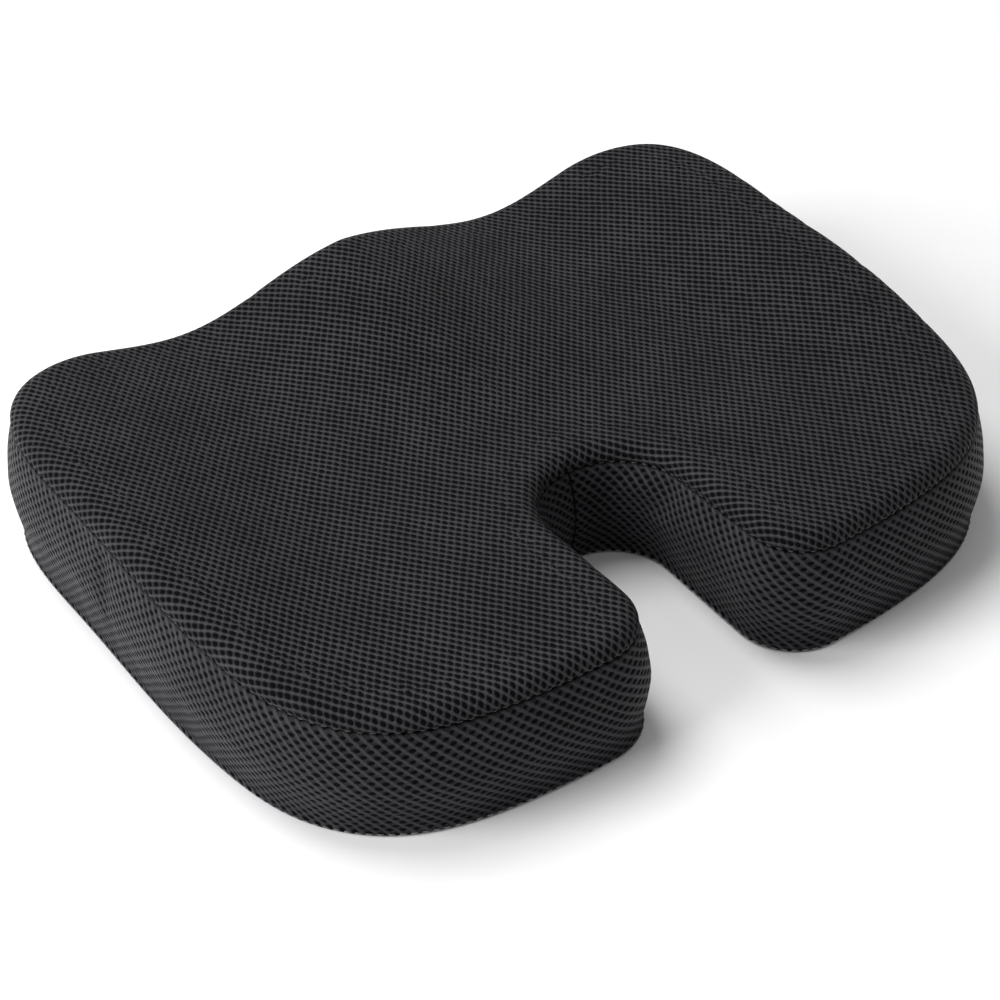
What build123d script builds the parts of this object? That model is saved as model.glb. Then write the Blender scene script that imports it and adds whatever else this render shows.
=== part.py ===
from build123d import *
import math
import os

# Contoured coccyx seat cushion, a foam core in a zipped cover, in millimetres.
# +Z is up. +Y is the rear, where the tailbone notch opens. -Y is the front, with the zip and
# the carry handle. The origin is on the underside, midway across the cushion.

# ---- overall size, measured at the seam line between the top panel and the side band
WIDTH = 436.4            # across the hips
DEPTH = 334.4            # from the front face to the rear edge of the two lobes
FRONT_Y = -165.0         # the flat front face, which the other plan sizes count from

# ---- plan shape of the seam line, right half
CORNER_REACH = 68.0      # the flat front stops this far inside the widest point
WAIST_IN = 7.1           # how far the side has drawn in where the rear corner starts
NOTCH_HALF = 37.2        # half the width of the tailbone notch, and the radius of its round end
NOTCH_DEPTH = 122.2      # from the rear edge to the notch's apex
LOBE_R = 27.9            # corner between the rear edge and the notch

# ---- heights of the top surface above the floor
H_MID = 62.7             # the dish between front and rear
H_FRONT = 79.6
H_REAR = 70.1
H_SIDE = 80.2            # raised side wings
POMMEL_RISE = 3.6        # centre of the front, between the thighs
POMMEL_SPREAD = 56.5
THIGH_DROP = 18.9        # the two channels in the front edge
THIGH_X = 96.8
THIGH_SPREAD = 61.6

# ---- cover
COVER_T = 3.0            # spacer mesh
BASE_T = 1.5             # anti-slip base fabric
SHOULDER_R = 9.0         # rounding of the top edge
SEAM_DROP = 10.0         # the top seam runs this far below the top surface
BULGE = 6.8              # side wall's belly beyond the seam line
BASE_FLARE = 4.3         # base seam beyond the top seam line

# ---- zip in the front face
ZIP_Z = 15.0             # height of the chain's centre line
ZIP_GAP = 10.4           # opening between the folded edges of the upper and lower strips
TAPE_W = 11.0
TAPE_T = 0.6
TAPE_PARTING = 3.0       # space between the two tapes, bridged by the teeth
TEETH_PITCH = 2.5
TOOTH_W = 1.0
TOOTH_T = 1.8
SPINE_OUTER = 3.2        # outer edge of each row of teeth, from the centre line
SPINE_INNER = 1.9
TOOTH_REACH = 1.5        # how far a tooth passes the centre line
STOP_L = 3.6
FIT = 0.3                # running clearance between the slider and what it rides on

# ---- zip slider and pull tab
SLIDER_L = 12.0
SLIDER_W_WIDE = 9.4
SLIDER_W_NARROW = 7.8
PLATE_T = 1.2
BACK_PLATE_T = 1.0
POST_L = 3.4
POST_W = 2.2
BRIDGE_SPAN = 7.6
BRIDGE_H = 3.2
BRIDGE_T = 0.9
BRIDGE_W = 2.4
TAB_L = 25.0
TAB_W = 7.0
TAB_T = 1.2
TAB_EYE_L = 5.2

# ---- carry handle and label
STRAP_W = 22.0
STRAP_T = 2.0
STRAP_Z = 38.0           # height of its centre line
STRAP_SPAN = 124.0       # free length between the two sewn ends
STRAP_END = 20.0         # each sewn end
STRAP_BOW = 11.0         # inside of the strap to the cover, at the middle
LABEL_W = 24.0
LABEL_L = 17.0
LABEL_T = 0.4

# ---- derived places
HALF = WIDTH / 2
REAR_Y = FRONT_Y + DEPTH
APEX_Y = REAR_Y - NOTCH_DEPTH
FLAT_HALF = HALF - CORNER_REACH
MID_Y = FRONT_Y + 0.5 * DEPTH
ZIP_END = FLAT_HALF - 8.0
SLIDER_X = ZIP_END - 8.0
LID = max(H_FRONT, H_SIDE, H_REAR) + POMMEL_RISE + 8.0
LEVELS = [BASE_T + (LID - BASE_T) * i / 7 for i in range(8)]

# Side wall: (share of the seam's height, distance beyond the seam line)
WALL = (
    (0.0, BASE_FLARE),
    (0.12, 0.42 * BULGE),
    (0.3, 0.75 * BULGE),
    (0.5, BULGE),
    (0.75, 0.6 * BULGE),
    (1.0, 0.0),
)


def blend(low, high, value):
    """Smooth step from 0 at low to 1 at high."""
    t = min(max((value - low) / (high - low), 0.0), 1.0)
    return t * t * (3 - 2 * t)


def bell(distance, spread):
    return math.exp(-((distance / spread) ** 2))


def top_height(x, y):
    """Height of the sat-on surface above the floor."""
    front = 1 - blend(FRONT_Y - 3, MID_Y + 18, y)
    rear = blend(MID_Y - 21, REAR_Y, y)
    height = H_MID * (1 - front - rear) + H_FRONT * front + H_REAR * rear
    height += (H_SIDE - H_MID) * blend(HALF - 103, HALF - 2, abs(x)) * (1 - front) * (1 - rear)
    pommel = POMMEL_RISE * bell(x, POMMEL_SPREAD)
    channel = THIGH_DROP * bell(abs(x) - THIGH_X, THIGH_SPREAD)
    return height + front * (pommel - channel)


def smooth_curve(points, start, end):
    """Curve through points, leaving along start and arriving along end."""
    places = [Vector(*point) for point in points]
    reach = [0.0]
    for here, there in zip(places, places[1:]):
        reach.append(reach[-1] + (there - here).length)
    shares = [distance / reach[-1] for distance in reach]
    ends = [Vector(*start) * reach[-1], Vector(*end) * reach[-1]]
    return Edge.make_spline(places, ends, parameters=shares, scale=False)


def seam_stations():
    """Places and outward directions along the right half of the seam line, from the flat front
    round the side and the lobe to the notch's apex, each with its distance along the line."""
    outline = [
        (FLAT_HALF, FRONT_Y),
        (HALF - 18.3, FRONT_Y + 15.7),
        (HALF, MID_Y - 57.4),
        (HALF - 1.7, MID_Y + 21.8),
        (HALF - WAIST_IN, MID_Y + 76.0),
        (HALF - 20.0, REAR_Y - 48.7),
        (HALF - 45.8, REAR_Y - 20.4),
        (NOTCH_HALF + LOBE_R + 55.0, REAR_Y - 3.2),
        (NOTCH_HALF + LOBE_R, REAR_Y),
    ]
    side = smooth_curve(outline, (1, 0), (-1, 0))
    lobe = CenterArc((NOTCH_HALF + LOBE_R, REAR_Y - LOBE_R), LOBE_R, 90, 90)
    wall = Line((NOTCH_HALF, REAR_Y - LOBE_R), (NOTCH_HALF, APEX_Y + NOTCH_HALF))
    round_end = CenterArc((0, APEX_Y + NOTCH_HALF), NOTCH_HALF, 0, -90)
    stations = []
    travelled = 0.0
    for stretch, spans in ((side, 22), (lobe, 5), (wall, 4), (round_end, 6)):
        for i in range(spans):
            along = stretch % (i / spans)
            outward = Vector(along.Y, -along.X)
            stations.append((stretch @ (i / spans), outward, travelled + stretch.length * i / spans))
        travelled += stretch.length
    stations.append((Vector(0, APEX_Y), Vector(0, 1), travelled))
    return stations


def wall_offset(share):
    """How far the side wall stands beyond the seam line, at a share of the seam's height."""
    for (low, start), (high, end) in zip(WALL, WALL[1:]):
        if share <= high:
            return start + (end - start) * blend(low, high, share)
    return 0.0


def half_ring(stations, inset, level):
    """Points of the right half of a level section, drawn in by inset."""
    points = []
    for place, outward, travelled in stations:
        shoulder = place - outward * SHOULDER_R
        seam_z = top_height(shoulder.X, shoulder.Y) - SEAM_DROP
        belly = wall_offset((level - BASE_T) / (seam_z - BASE_T))
        belly *= blend(0, CORNER_REACH, travelled)
        spot = place + outward * (belly - inset)
        points.append((spot.X, spot.Y, level))
    return points


def ring(stations, inset, level):
    """One closed level section of the side wall: the flat front, then the two curved halves."""
    right = half_ring(stations, inset, level)
    left = [(-x, y, z) for x, y, z in reversed(right)]
    length = stations[-1][2]
    out = [travelled / length for _, _, travelled in stations]
    back = [1 - share for share in reversed(out)]
    to_right = (length, 0, 0)
    across = (-length * (NOTCH_HALF + inset) / NOTCH_HALF, 0, 0)
    return Wire([
        Edge.make_line(left[-1], right[0]),
        Edge.make_spline(right, [to_right, across], parameters=out, scale=False),
        Edge.make_spline(left, [across, to_right], parameters=back, scale=False),
    ])


def above_surface(drop):
    """Everything above the top surface when it is lowered by drop."""
    step_x = (HALF + 40) / 9
    step_y = (DEPTH / 2 + 40) / 7
    grid = []
    for i in range(-9, 10):
        grid.append([])
        for j in range(-7, 8):
            x = i * step_x
            y = MID_Y + j * step_y
            grid[-1].append((x, y, top_height(x, y) - drop))
    sheet = Face.make_surface_from_array_of_points(grid, tol=0.01, min_deg=3)
    return Solid.extrude(sheet, Vector(0, 0, LID))


def contour_blank(stations, inset):
    """The cushion's body, drawn in by inset on the sides and the top, with a rounded shoulder."""
    body = Solid.make_loft([ring(stations, inset, level) for level in LEVELS])
    body = body.cut(above_surface(inset))
    rim = body.faces().sort_by(Axis.Z)[-1].edges()
    return body.fillet(SHOULDER_R - inset, rim)


def front_box(x_low, x_high, y_low, y_high, z_low, z_high):
    """A block given by its limits; y counts inward from the front face."""
    size = Vector(x_high - x_low, y_high - y_low, z_high - z_low)
    centre = Vector(x_low + x_high, 2 * FRONT_Y + y_low + y_high, z_low + z_high) * 0.5
    return Pos(centre) * Box(size.X, size.Y, size.Z)


def both_sides(shape):
    return shape, shape.mirror(Plane.YZ)


# ---- cover and core ----

def foam_core(inner):
    """Moulded foam, pressed in behind the zip tapes and the slider's back plate."""
    tapes = front_box(
        -FLAT_HALF, FLAT_HALF,
        COVER_T, COVER_T + TAPE_T,
        ZIP_Z - TAPE_PARTING / 2 - TAPE_W, ZIP_Z + TAPE_PARTING / 2 + TAPE_W,
    )
    channel_depth = COVER_T + TAPE_T + FIT + BACK_PLATE_T + FIT
    channel = front_box(
        -ZIP_END, FLAT_HALF,
        COVER_T, channel_depth,
        ZIP_Z - SLIDER_W_WIDE / 2 - 2 * FIT, ZIP_Z + SLIDER_W_WIDE / 2 + 2 * FIT,
    )
    return inner - tapes - channel


def base_panel(stations):
    """Anti-slip base fabric, sewn to the lower edge of the side band."""
    outline = Face(ring(stations, 0.0, BASE_T))
    return Solid.extrude(outline, Vector(0, 0, -BASE_T))


def side_bands(wall):
    """The mesh strip round the two sides, joined at the notch's apex and at the zip's ends."""
    front = front_box(-FLAT_HALF, FLAT_HALF, -5, COVER_T + 5, -5, LID)
    right_half = Pos(HALF, MID_Y, LID / 2) * Box(WIDTH, 2 * DEPTH, 2 * LID)
    right = (wall - front) & right_half
    return both_sides(right)


def front_strips(wall):
    """The flat front of the band, in two strips with the zip between them."""
    reach = ZIP_GAP / 2
    upper = wall & front_box(-FLAT_HALF, FLAT_HALF, -5, COVER_T + 5, ZIP_Z + reach, LID)
    lower = wall & front_box(-FLAT_HALF, FLAT_HALF, -5, COVER_T + 5, 0, ZIP_Z - reach)
    return upper, lower - label_sheet()


def label_sheet():
    """Blank care label, caught in the base seam beside the zip's open end."""
    x_low = -FLAT_HALF + 12
    sheet = front_box(x_low, x_low + LABEL_W, -LABEL_L, COVER_T, BASE_T, BASE_T + LABEL_T)
    return sheet


# ---- zip ----

def zip_tape():
    low = ZIP_Z + TAPE_PARTING / 2
    return front_box(-FLAT_HALF, FLAT_HALF, COVER_T, COVER_T + TAPE_T, low, low + TAPE_W)


def tooth_row(first_x):
    """One row of teeth on its spine, above the centre line, from first_x on."""
    outer = COVER_T - TOOTH_T
    row = front_box(
        -ZIP_END + STOP_L + FIT, SLIDER_X - FIT,
        outer, COVER_T,
        ZIP_Z + SPINE_INNER, ZIP_Z + SPINE_OUTER,
    )
    count = int((SLIDER_X - 2 * FIT - TOOTH_W - first_x) / TEETH_PITCH) + 1
    teeth = []
    for i in range(count):
        x = first_x + i * TEETH_PITCH
        low = ZIP_Z - TOOTH_REACH
        teeth.append(front_box(x, x + TOOTH_W, outer, COVER_T, low, ZIP_Z + SPINE_INNER))
    return row.fuse(*teeth)


def top_stops():
    """A stop on each tape, just ahead of the closed teeth and clear of the slider's post."""
    low = ZIP_Z + POST_W / 2 + 2 * FIT
    upper = front_box(
        SLIDER_X + FIT, SLIDER_X + FIT + STOP_L,
        COVER_T - TOOTH_T, COVER_T,
        low, ZIP_Z + SPINE_OUTER,
    )
    return Compound(children=[upper, over_centre(upper)])


def bottom_stop():
    """Clip across both tapes at the far end of the teeth."""
    clip = front_box(
        -ZIP_END, -ZIP_END + STOP_L,
        COVER_T - TOOTH_T - FIT, COVER_T,
        ZIP_Z - SPINE_OUTER, ZIP_Z + SPINE_OUTER,
    )
    return fillet(clip.edges().filter_by(Axis.Y), 0.8)


def over_centre(shape):
    """The same shape turned over to the other side of the zip's centre line."""
    return shape.mirror(Plane.XY.offset(ZIP_Z))


# ---- slider and pull tab ----

def slider_plate(y_low, y_high):
    """Shield-shaped plate, wide at the leading end and narrow at the trailing end."""
    lead = SLIDER_X + SLIDER_L / 2
    trail = SLIDER_X - SLIDER_L / 2
    wide = SLIDER_W_WIDE / 2
    narrow = SLIDER_W_NARROW / 2
    outline = Polyline(
        (trail, ZIP_Z - narrow), (SLIDER_X, ZIP_Z - narrow), (SLIDER_X + 3, ZIP_Z - wide),
        (lead, ZIP_Z - wide), (lead, ZIP_Z + wide), (SLIDER_X + 3, ZIP_Z + wide),
        (SLIDER_X, ZIP_Z + narrow), (trail, ZIP_Z + narrow), close=True,
    )
    face = Plane.XZ.offset(-(FRONT_Y + y_low)) * make_face(outline)
    plate = extrude(face, amount=-(y_high - y_low))
    corners = plate.edges().filter_by(Axis.Y)
    return fillet(corners, 0.9)


def slider():
    """Zip slider: two plates round the teeth, joined by the post that parts them."""
    front_in = COVER_T - TOOTH_T - FIT
    back_in = COVER_T + TAPE_T + FIT
    front = slider_plate(front_in - PLATE_T, front_in)
    back = slider_plate(back_in, back_in + BACK_PLATE_T)
    post = front_box(
        SLIDER_X + 1.0, SLIDER_X + 1.0 + POST_L,
        front_in, back_in,
        ZIP_Z - POST_W / 2, ZIP_Z + POST_W / 2,
    )
    post = fillet(post.edges().filter_by(Axis.Y), POST_W * 0.45)
    rim_low = SPINE_OUTER + FIT
    rim = front_box(
        SLIDER_X - SLIDER_L / 2 + 1.2, SLIDER_X,
        front_in, COVER_T - FIT,
        ZIP_Z + rim_low, ZIP_Z + SLIDER_W_NARROW / 2,
    )
    return front.fuse(back, post, rim, over_centre(rim), bridge(front_in - PLATE_T))


def bridge(plate_y):
    """Arched keeper on the front plate, which the pull tab's bar turns under."""
    half = BRIDGE_SPAN / 2
    outside = Polyline(
        (-half, 0), (-half + 1.0, BRIDGE_H), (half - 1.0, BRIDGE_H), (half, 0), close=True,
    )
    inside = Polyline(
        (-half + BRIDGE_T, -1), (-half + BRIDGE_T + 0.8, BRIDGE_H - BRIDGE_T),
        (half - BRIDGE_T - 0.8, BRIDGE_H - BRIDGE_T), (half - BRIDGE_T, -1), close=True,
    )
    ground = Plane(
        origin=(SLIDER_X, FRONT_Y + plate_y, ZIP_Z - BRIDGE_W / 2),
        x_dir=(-1, 0, 0),
        z_dir=(0, 0, 1),
    )
    arch = extrude(ground * make_face(outside), amount=BRIDGE_W)
    hollow = extrude(ground * make_face(inside), amount=BRIDGE_W)
    return arch - hollow


def pull_tab():
    """Pull tab lying back over the closed teeth, its bar under the slider's bridge."""
    bar_x = SLIDER_X
    bar_y = FRONT_Y + COVER_T - TOOTH_T - FIT - PLATE_T - FIT - TAB_T / 2
    leaf = Plane(origin=(bar_x, bar_y - TAB_T / 2, ZIP_Z), x_dir=(-1, 0, 0), z_dir=(0, 1, 0))
    length = TAB_L - TAB_T / 2
    blade = leaf * (Pos(length / 2, 0, TAB_T / 2) * Box(length, TAB_W, TAB_T))
    blade = fillet(blade.edges().filter_by(Axis.Y).sort_by(Axis.X)[:2], TAB_W * 0.4)
    eye_w = BRIDGE_W + 4 * FIT
    eye = leaf * (Pos(TAB_EYE_L / 2, 0, TAB_T / 2) * Box(TAB_EYE_L, eye_w, 3 * TAB_T))
    grip = leaf * (Pos(TAB_L - 6, 0, TAB_T / 2) * Box(5, TAB_W - 3, 3 * TAB_T))
    bar = Pos(bar_x, bar_y, ZIP_Z) * Cylinder(TAB_T / 2, TAB_W)
    return (blade - eye - grip) + bar


# ---- handle ----

def carry_handle():
    """Webbing strap across the front, sewn flat at both ends and bowed out between them."""
    half = STRAP_SPAN / 2
    end = half + STRAP_END
    inner = smooth_curve([(-half, 0), (0, -STRAP_BOW), (half, 0)], (0.6, 0), (0.6, 0))
    outer = smooth_curve(
        [(half, -STRAP_T), (0, -STRAP_BOW - STRAP_T), (-half, -STRAP_T)], (-0.6, 0), (-0.6, 0)
    )
    right_end = Polyline((half, 0), (end, 0), (end, -STRAP_T), (half, -STRAP_T))
    left_end = Polyline((-half, -STRAP_T), (-end, -STRAP_T), (-end, 0), (-half, 0))
    section = Face(Wire([inner, *right_end.edges(), outer, *left_end.edges()]))
    return Pos(0, FRONT_Y, STRAP_Z - STRAP_W / 2) * Solid.extrude(section, Vector(0, 0, STRAP_W))


# ---- assembly ----

def build():
    stations = seam_stations()
    outer = contour_blank(stations, 0.0)
    inner = contour_blank(stations, COVER_T)
    below_seam = outer - above_surface(SEAM_DROP)
    wall = below_seam - inner
    upper_strip, lower_strip = front_strips(wall)
    right_band, left_band = side_bands(wall)
    first_tooth = -ZIP_END + STOP_L + 2 * FIT
    return {
        "foam_core": foam_core(inner),
        "top_panel": outer - below_seam - inner,
        "side_band_right": right_band,
        "side_band_left": left_band,
        "front_band_upper": upper_strip,
        "front_band_lower": lower_strip,
        "base_panel": base_panel(stations),
        "zip_tape_upper": zip_tape(),
        "zip_tape_lower": over_centre(zip_tape()),
        "zip_teeth_upper": tooth_row(first_tooth),
        "zip_teeth_lower": over_centre(tooth_row(first_tooth + TEETH_PITCH / 2)),
        "zip_top_stops": top_stops(),
        "zip_bottom_stop": bottom_stop(),
        "zip_slider": slider(),
        "zip_pull_tab": pull_tab(),
        "carry_handle": carry_handle(),
        "care_label": label_sheet(),
    }


os.makedirs("parts", exist_ok=True)
for name, shape in build().items():
    export_step(shape, f"parts/{name}.step")
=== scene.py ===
import math

import bmesh
import bpy
import numpy as np
from mathutils import Matrix, Vector, geometry


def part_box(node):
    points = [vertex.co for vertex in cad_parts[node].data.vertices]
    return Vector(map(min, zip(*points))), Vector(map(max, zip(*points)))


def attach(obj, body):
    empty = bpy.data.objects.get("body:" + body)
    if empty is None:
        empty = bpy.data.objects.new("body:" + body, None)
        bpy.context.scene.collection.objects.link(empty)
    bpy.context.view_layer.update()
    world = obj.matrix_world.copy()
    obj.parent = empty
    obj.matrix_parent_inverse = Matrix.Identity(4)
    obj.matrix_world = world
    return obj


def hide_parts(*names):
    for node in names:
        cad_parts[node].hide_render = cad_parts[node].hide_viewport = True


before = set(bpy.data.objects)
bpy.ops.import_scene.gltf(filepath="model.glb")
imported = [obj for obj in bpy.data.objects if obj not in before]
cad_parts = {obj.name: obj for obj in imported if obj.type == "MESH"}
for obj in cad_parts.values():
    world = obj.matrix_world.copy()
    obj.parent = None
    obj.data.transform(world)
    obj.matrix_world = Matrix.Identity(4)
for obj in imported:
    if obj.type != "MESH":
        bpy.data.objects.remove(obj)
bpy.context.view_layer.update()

MM = 0.001

# ---- plan shape of the seam line and heights of the top surface, in millimetres, as in the CAD model
WIDTH = 436.4
DEPTH = 334.4
FRONT_Y = -165.0
CORNER_REACH = 68.0
WAIST_IN = 7.1
NOTCH_HALF = 37.2
NOTCH_DEPTH = 122.2
LOBE_R = 27.9
H_MID, H_FRONT, H_REAR, H_SIDE = 62.7, 79.6, 70.1, 80.2
POMMEL_RISE, POMMEL_SPREAD = 3.6, 56.5
THIGH_DROP, THIGH_X, THIGH_SPREAD = 18.9, 96.8, 61.6
HALF = WIDTH / 2
REAR_Y = FRONT_Y + DEPTH
APEX_Y = REAR_Y - NOTCH_DEPTH
FLAT_HALF = HALF - CORNER_REACH
MID_Y = FRONT_Y + DEPTH / 2

# ---- the cover: steps of its mesh round the seam line, and its edges
LOOP_STEP = 3.3
FRONT_STEPS = 45
SHOULDER_R = 10.4        # rounding of the top edge, with the fabric over it
SHOULDER_RISE = 9.0      # the top seam runs this far below the top surface
BASE_Z = 1.5             # lower edge of the mesh, where the base fabric is sewn on
COVER_T = 3.0            # thickness of the band, which the zip tapes lie behind
FOAM_GAP = 4.2           # the foam stays about this far inside the cover's outer face

# ---- zip and strap, from the frame
ZIP_Z = sum(c[2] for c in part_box("zip_bottom_stop")) / 2 / MM
SLOT_HALF = 5.2          # half the opening between the folded edges beside the zip
STRAP_LOW, STRAP_HIGH = (Vector(c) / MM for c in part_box("carry_handle"))
STRAP_MID_Z = (STRAP_LOW.z + STRAP_HIGH.z) / 2

# ---- the spacer mesh: pitch and half size of its oval holes, across and along, in millimetres
TOP_CELL, TOP_HOLE = (4.25, 5.8), (1.02, 1.5)
BAND_CELL, BAND_HOLE = (5.8, 5.4), (1.5, 1.0)
BAND_SEAM_REACH = 5.0    # the band's holes close up this near to the top seam


# ================================================================ shape

def blend(low, high, value):
    """Smooth step from 0 at low to 1 at high."""
    t = np.clip((np.asarray(value, float) - low) / (high - low), 0.0, 1.0)
    return t * t * (3 - 2 * t)


def bell(distance, spread):
    """Rounded hump of height 1, centred on distance 0."""
    return np.exp(-((distance / spread) ** 2))


def top_height(x, y):
    """Height of the sat-on surface above the floor."""
    front = 1 - blend(FRONT_Y - 3, MID_Y + 18, y)
    rear = blend(MID_Y - 21, REAR_Y, y)
    height = H_MID * (1 - front - rear) + H_FRONT * front + H_REAR * rear
    height = height + (H_SIDE - H_MID) * blend(HALF - 103, HALF - 2, abs(x)) * (1 - front) * (1 - rear)
    pommel = POMMEL_RISE * bell(x, POMMEL_SPREAD)
    channel = THIGH_DROP * bell(abs(x) - THIGH_X, THIGH_SPREAD)
    return height + front * (pommel - channel)


def clamped_spline(points, start, end, count):
    """Smooth curve through points with given end directions, by chord length."""
    p = np.array(points, float)
    reach = np.r_[0, np.cumsum(np.linalg.norm(np.diff(p, axis=0), axis=1))]
    n = len(p)
    system = np.zeros((n, n))
    right = np.zeros((n, 2))
    system[0, 0] = system[-1, -1] = 1
    right[0], right[-1] = start, end
    for i in range(1, n - 1):
        before, after = reach[i] - reach[i - 1], reach[i + 1] - reach[i]
        system[i, i - 1:i + 2] = after, 2 * (before + after), before
        slope_in = (p[i] - p[i - 1]) / before
        slope_out = (p[i + 1] - p[i]) / after
        right[i] = 3 * (after * slope_in + before * slope_out)
    slopes = np.linalg.solve(system, right)
    where = np.linspace(0, reach[-1], count)
    k = np.clip(np.searchsorted(reach, where, side="right") - 1, 0, n - 2)
    span = (reach[k + 1] - reach[k])[:, None]
    t = (where - reach[k])[:, None] / span
    return ((2 * t**3 - 3 * t**2 + 1) * p[k] + (t**3 - 2 * t**2 + t) * span * slopes[k]
            + (-2 * t**3 + 3 * t**2) * p[k + 1] + (t**3 - t**2) * span * slopes[k + 1])


def arc(centre, radius, start, end, count):
    """Points on an arc in plan, between two angles in degrees."""
    a = np.radians(np.linspace(start, end, count))
    return np.c_[centre[0] + radius * np.cos(a), centre[1] + radius * np.sin(a)]


def seam_line():
    """Closed seam line in plan, evenly stepped: places, outward directions, lengths, side weights.

    It starts at the middle of the front and runs round by +X. The side weight is 0 along the flat front.
    """
    outline = [
        (FLAT_HALF, FRONT_Y),
        (HALF - 18.3, FRONT_Y + 15.7),
        (HALF, MID_Y - 57.4),
        (HALF - 1.7, MID_Y + 21.8),
        (HALF - WAIST_IN, MID_Y + 76.0),
        (HALF - 20.0, REAR_Y - 48.7),
        (HALF - 45.8, REAR_Y - 20.4),
        (NOTCH_HALF + LOBE_R + 55.0, REAR_Y - 3.2),
        (NOTCH_HALF + LOBE_R, REAR_Y),
    ]
    side = clamped_spline(outline, (1, 0), (-1, 0), 600)
    lobe = arc((NOTCH_HALF + LOBE_R, REAR_Y - LOBE_R), LOBE_R, 90, 180, 80)
    wall = np.linspace((NOTCH_HALF, REAR_Y - LOBE_R), (NOTCH_HALF, APEX_Y + NOTCH_HALF), 60)
    end = arc((0, APEX_Y + NOTCH_HALF), NOTCH_HALF, 0, -90, 80)
    front = np.linspace((0, FRONT_Y), (FLAT_HALF, FRONT_Y), 60)
    half = np.vstack([front, side[1:], lobe[1:], wall[1:], end[1:]])
    length = np.r_[0, np.cumsum(np.linalg.norm(np.diff(half, axis=0), axis=1))]
    steps = int(round((length[-1] - FLAT_HALF) / LOOP_STEP))
    on_front = np.linspace(0, FLAT_HALF, FRONT_STEPS + 1)
    even = np.r_[on_front, np.linspace(FLAT_HALF, length[-1], steps + 1)[1:]]
    right = np.c_[np.interp(even, length, half[:, 0]), np.interp(even, length, half[:, 1])]
    left = right[1:-1][::-1] * (-1, 1)
    loop = np.vstack([right, left])
    ahead = np.roll(loop, -1, 0) - np.roll(loop, 1, 0)
    ahead /= np.linalg.norm(ahead, axis=1, keepdims=True)
    outward = np.c_[ahead[:, 1], -ahead[:, 0]]
    travelled = np.r_[even, (2 * length[-1] - even[1:-1][::-1])]
    from_front = np.minimum(travelled, 2 * length[-1] - travelled) - FLAT_HALF
    return loop, outward, travelled, blend(0, CORNER_REACH, from_front)


LOOP, OUT, RUN, SIDE_WEIGHT = seam_line()
HALF_RUN = float(RUN[len(LOOP) // 2])
COUNT = len(LOOP)
SHOULDER = LOOP - OUT * SHOULDER_R
TOP_Z = top_height(SHOULDER[:, 0], SHOULDER[:, 1])
SEAM_Z = TOP_Z - SHOULDER_RISE
APEX = COUNT // 2
JOINS = (FRONT_STEPS, APEX, COUNT - FRONT_STEPS)

# ---- the wall's belly: at these shares of its height it lies this far outside the seam line
WALL_SHARES = (0.0, 0.06, 0.15, 0.3, 0.5, 0.75, 0.93, 1.0)
WALL_OUT = (3.7, 2.9, 3.1, 4.9, 6.3, 4.1, 1.2, -1.3)
FRONT_OUT = (0.6, 0.2, 0.0, 0.0, 0.0, 0.0, 0.0, -1.3)
FOAM_OUT = (0.5, 0.5, 1.2, 5.1, 6.8, 4.3, 1.2, 0.0)


# ================================================================ cover mesh

# ---- rings near the floor: distance outside the seam line on the sides, the same on the front, height
UNDER_RING = (2.6, -0.6, 0.55)
ROLLED_RING = (3.5, 0.5, 0.75)
LIP_RINGS = ((3.7, 0.6, BASE_Z), (3.5, 0.5, 2.4), (2.9, 0.0, 3.6))

# ---- rings of the wall and the top
LOWER_BAND_Z = 6.4               # between the lip and the zip
SLOT_MID = 1.8                   # rings this far from the zip's centre, where the slot is left open
UPPER_BAND_RINGS = 12
NECK_DROP, NECK_OUT = 3.2, (0.2, 0.0)
FOLD_DROP, FOLD_OUT = 1.1, (-2.2, -2.2)
JOIN_DIP = 0.9                   # the join seams pull the wall in this far
SHOULDER_ANGLES = (6, 18, 32, 46, 60, 75, 90)
SHOULDER_PUFF = 0.8
CROWN_INSETS = (2.6, 5.4)
BASE_SPACING, TOP_SPACING = 11.0, 6.3

# ---- the cloth simulation
FRAMES = 16
MOST_MOVE = 2.2
LIP_HOLD, TOP_HOLD, WALL_HOLD = 0.9, 0.72, 0.12     # 1 keeps a point where it is


def inside_ring(ring, spacing, margin):
    """Points of a triangular grid inside a plan ring, clear of its line."""
    low, high = ring.min(0) + margin, ring.max(0) - margin
    rows = []
    for j, y in enumerate(np.arange(low[1], high[1], spacing * 0.866)):
        x = np.arange(low[0], high[0], spacing) + (spacing / 2 if j % 2 else 0)
        rows.append(np.c_[x, np.full(len(x), y)])
    grid = np.vstack(rows)
    a, b = ring, np.roll(ring, -1, 0)
    crossings = np.zeros(len(grid), int)
    for p, q in zip(a, b):
        level = (p[1] > grid[:, 1]) != (q[1] > grid[:, 1])
        run = (q[0] - p[0]) * (grid[:, 1] - p[1]) / (q[1] - p[1] + 1e-12) + p[0]
        crossings += level & (grid[:, 0] < run)
    grid = grid[crossings % 2 == 1]
    gap = np.min(np.linalg.norm(grid[:, None] - ring[None], axis=2), axis=1)
    return grid[gap > margin]


def fill_ring(ring, spacing):
    """Triangles that fill a plan ring: the new inner points, and faces as indices (ring first)."""
    grid = inside_ring(ring, spacing, spacing * 0.55)
    places = [Vector(p) for p in np.vstack([ring, grid])]
    n = len(ring)
    edges = [(i, (i + 1) % n) for i in range(n)]
    found = geometry.delaunay_2d_cdt(places, edges, [], 1, 1e-6)
    source = [s[0] if s else -1 for s in found[3]]
    faces = [[source[i] for i in face] for face in found[2]]
    return grid, [f for f in faces if min(f) >= 0]


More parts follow.
